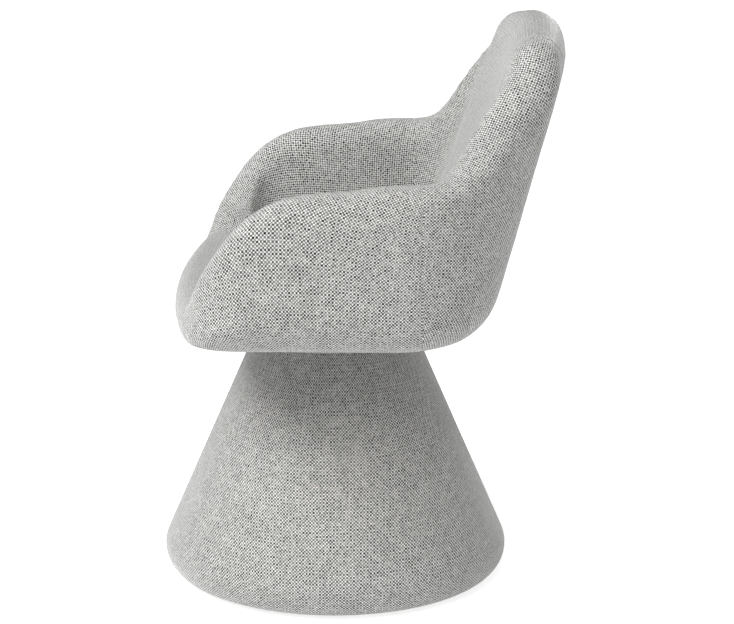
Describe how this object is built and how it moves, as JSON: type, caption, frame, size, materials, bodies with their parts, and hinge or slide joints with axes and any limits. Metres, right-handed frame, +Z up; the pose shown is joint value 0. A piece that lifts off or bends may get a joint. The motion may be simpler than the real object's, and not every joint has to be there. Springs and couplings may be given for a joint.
{
  "type": "swivel chair",
  "caption": "Upholstered tub chair with low rounded arms and a leaning back, turning on a cone-shaped upholstered plinth.",
  "frame": {"origin": "on the floor, on the swivel axis, in the middle of the plinth", "axes": "+Z up along the swivel axis; the sitter faces -Y; +X is on the left of the sitter"},
  "size_m": [0.6248, 0.5816, 0.8335],
  "materials": {
    "fabric": "chunky speckled weave, light grey",
    "foam": "upholstery foam, hidden",
    "cloth": "thin black lining cloth",
    "wood": "bare plywood, hidden",
    "steel": "zinc plated",
    "iron": "black ballast plate, hidden",
    "plastic": "moulded",
    "rubber": "matt"
  },
  "bodies": {
    "base": {"base_cover": "fabric", "cone_foam": "foam", "edge_roll_foam": "foam", "base_underside_cloth": "cloth", "cone_skin": "plastic", "base_rim_board": "wood", "floor_ring": "rubber", "base_bottom_board": "wood", "ballast_plate": "iron", "post_tube": "steel", "post_foot_flange": "steel", "post_head_flange": "steel", "base_top_board": "wood", "base_ribs": "wood", "lower_plate": "steel", "centre_pin": "steel", "centre_washer": "steel", "centre_nut": "steel", "lower_plate_bolts": "steel", "lower_plate_nuts": "steel", "head_flange_screws": "steel", "foot_flange_bolts": "steel", "ballast_screws": "steel"},
    "cage": {"ball_cage": "plastic", "swivel_balls": "steel"},
    "seat": {"seat_board": "wood", "seat_underside_cloth": "cloth", "front_roll_foam": "foam", "front_border_cover": "fabric", "back_foam": "foam", "outer_back_cover": "fabric", "inner_back_cover": "fabric", "tub_shell": "plastic", "arm_foam_left": "foam", "outer_side_cover_left": "fabric", "inner_arm_cover_left": "fabric", "back_wing_cover_left": "fabric", "arm_foam_right": "foam", "outer_side_cover_right": "fabric", "inner_arm_cover_right": "fabric", "back_wing_cover_right": "fabric", "seat_foam": "foam", "seat_cover": "fabric", "shell_screws": "steel", "upper_plate": "steel", "upper_plate_bolts": "steel", "tee_nuts": "steel"}
  },
  "joints": [
    {"name": "seat_swivel", "type": "hinge", "parent": "base", "child": "seat", "pos_m": [0, 0, 0.39], "axis": [0, 0, 1], "continuous": true},
    {"name": "cage_spin", "type": "hinge", "parent": "base", "child": "cage", "pos_m": [0, 0, 0.3908], "axis": [0, 0, 1], "continuous": true}
  ],
  "couplings": [
    {"joint": "cage_spin", "follows": "seat_swivel", "ratio": 0.5}
  ]
}
